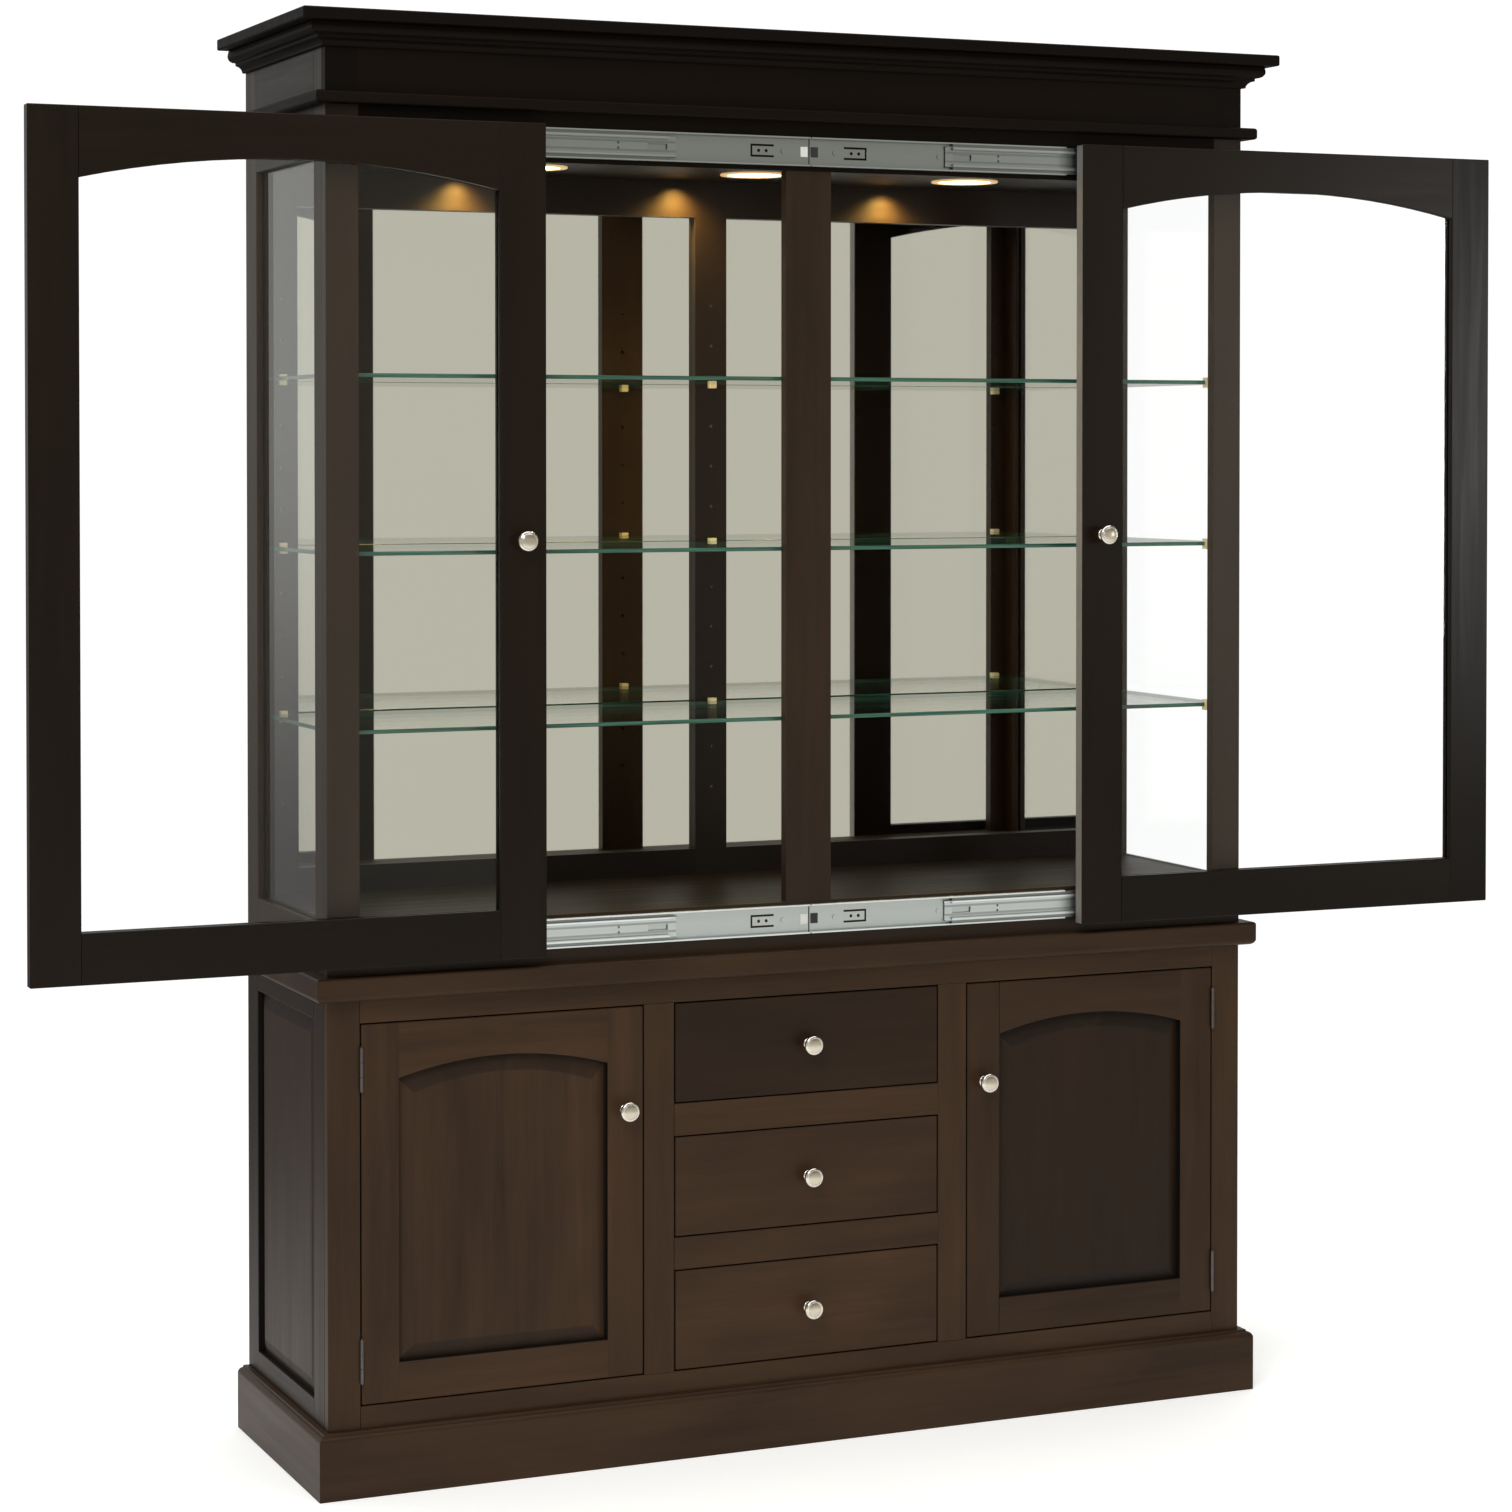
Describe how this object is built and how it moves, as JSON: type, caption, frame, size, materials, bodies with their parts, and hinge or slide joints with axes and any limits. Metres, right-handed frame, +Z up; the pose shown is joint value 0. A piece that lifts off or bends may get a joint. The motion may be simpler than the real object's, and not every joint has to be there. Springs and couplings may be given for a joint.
{
  "type": "china cabinet",
  "caption": "Two-piece china cabinet: hutch with lit glass shelves and two sideways-sliding glass doors with arched rails, on a base with raised-panel doors and drawers.",
  "frame": {"origin": "on the floor, in the middle of the body's width and depth, at the underside of the middle floor support", "axes": "+X to the right as seen from the front, -Y out of the front, +Z up"},
  "size_m": [2.515, 0.5027, 2.235],
  "materials": {
    "stained_wood": "dark espresso stain, satin lacquer",
    "drawer_box_wood": "clear lacquered hardwood and plywood",
    "clear_glass": "clear float glass with green edges",
    "mirror": "silvered glass",
    "satin_nickel": "satin nickel plate",
    "dark_bronze": "dark bronze plate",
    "zinc_steel": "bright zinc plate",
    "catch_plastic": "moulded plastic",
    "pin_plastic": "clear moulded plastic",
    "light_metal": "satin white",
    "light_lens": "frosted lens, lit"
  },
  "bodies": {
    "cabinet": {"astragal": "stained_wood", "back_panels": "stained_wood", "base_carcass": "stained_wood", "base_face_frame": "stained_wood", "base_shelves": "stained_wood", "base_side_frames": "stained_wood", "base_side_panels": "stained_wood", "countertop": "stained_wood", "crown_cap": "stained_wood", "crown_moulding": "stained_wood", "door_catches": "catch_plastic", "door_slides_fixed": "zinc_steel", "drawer_slides_fixed": "zinc_steel", "glass_shelves": "clear_glass", "hinge_leaves_fixed": "dark_bronze", "hutch_back_frame": "stained_wood", "hutch_ceiling": "stained_wood", "hutch_deck": "stained_wood", "hutch_face_frame": "stained_wood", "hutch_mirrors": "mirror", "hutch_side_beads": "stained_wood", "hutch_side_frames": "stained_wood", "hutch_side_glass": "clear_glass", "light_cans": "light_metal", "light_lenses": "light_lens", "light_rings": "light_metal", "plinth": "stained_wood", "shelf_pins": "pin_plastic", "tie_plates": "zinc_steel"},
    "left_sliding_door": {"left_sliding_door_frame": "stained_wood", "left_sliding_door_glass": "clear_glass", "left_sliding_door_knob": "satin_nickel", "left_sliding_door_slides": "zinc_steel"},
    "right_sliding_door": {"right_sliding_door_frame": "stained_wood", "right_sliding_door_glass": "clear_glass", "right_sliding_door_knob": "satin_nickel", "right_sliding_door_slides": "zinc_steel"},
    "left_slide_middles": {"left_slide_middles": "zinc_steel"},
    "right_slide_middles": {"right_slide_middles": "zinc_steel"},
    "left_base_door": {"left_base_door_frame": "stained_wood", "left_base_door_panel": "stained_wood", "left_base_door_knob": "satin_nickel", "left_base_door_hinges": "dark_bronze"},
    "right_base_door": {"right_base_door_frame": "stained_wood", "right_base_door_panel": "stained_wood", "right_base_door_knob": "satin_nickel", "right_base_door_hinges": "dark_bronze"},
    "bottom_drawer": {"bottom_drawer_front": "stained_wood", "bottom_drawer_box": "drawer_box_wood", "bottom_drawer_knob": "satin_nickel", "bottom_drawer_slides": "zinc_steel"},
    "middle_drawer": {"middle_drawer_front": "stained_wood", "middle_drawer_box": "drawer_box_wood", "middle_drawer_knob": "satin_nickel", "middle_drawer_slides": "zinc_steel"},
    "top_drawer": {"top_drawer_front": "stained_wood", "top_drawer_box": "drawer_box_wood", "top_drawer_knob": "satin_nickel", "top_drawer_slides": "zinc_steel"}
  },
  "joints": [
    {"name": "left_door_slide", "type": "slide", "parent": "cabinet", "child": "left_sliding_door", "axis": [1, 0, 0], "range_m": [-0.02, 0.454]},
    {"name": "right_door_slide", "type": "slide", "parent": "cabinet", "child": "right_sliding_door", "axis": [-1, 0, 0], "range_m": [0, 0.474]},
    {"name": "left_middle_slide", "type": "slide", "parent": "cabinet", "child": "left_slide_middles", "axis": [1, 0, 0], "range_m": [-0.01, 0.227]},
    {"name": "right_middle_slide", "type": "slide", "parent": "cabinet", "child": "right_slide_middles", "axis": [-1, 0, 0], "range_m": [0, 0.237]},
    {"name": "left_base_door_hinge", "type": "hinge", "parent": "cabinet", "child": "left_base_door", "pos_m": [-0.7415, -0.2233, 0.424], "axis": [0, 0, -1], "range_deg": [0, 170]},
    {"name": "right_base_door_hinge", "type": "hinge", "parent": "cabinet", "child": "right_base_door", "pos_m": [0.7415, -0.2233, 0.424], "axis": [0, 0, 1], "range_deg": [0, 170]},
    {"name": "bottom_drawer_slide", "type": "slide", "parent": "cabinet", "child": "bottom_drawer", "axis": [0, -1, 0], "range_m": [0, 0.285]},
    {"name": "middle_drawer_slide", "type": "slide", "parent": "cabinet", "child": "middle_drawer", "axis": [0, -1, 0], "range_m": [0, 0.285]},
    {"name": "top_drawer_slide", "type": "slide", "parent": "cabinet", "child": "top_drawer", "axis": [0, -1, 0], "range_m": [0, 0.285]}
  ],
  "couplings": [
    {"joint": "left_middle_slide", "follows": "left_door_slide", "ratio": 0.5},
    {"joint": "right_middle_slide", "follows": "right_door_slide", "ratio": 0.5}
  ]
}
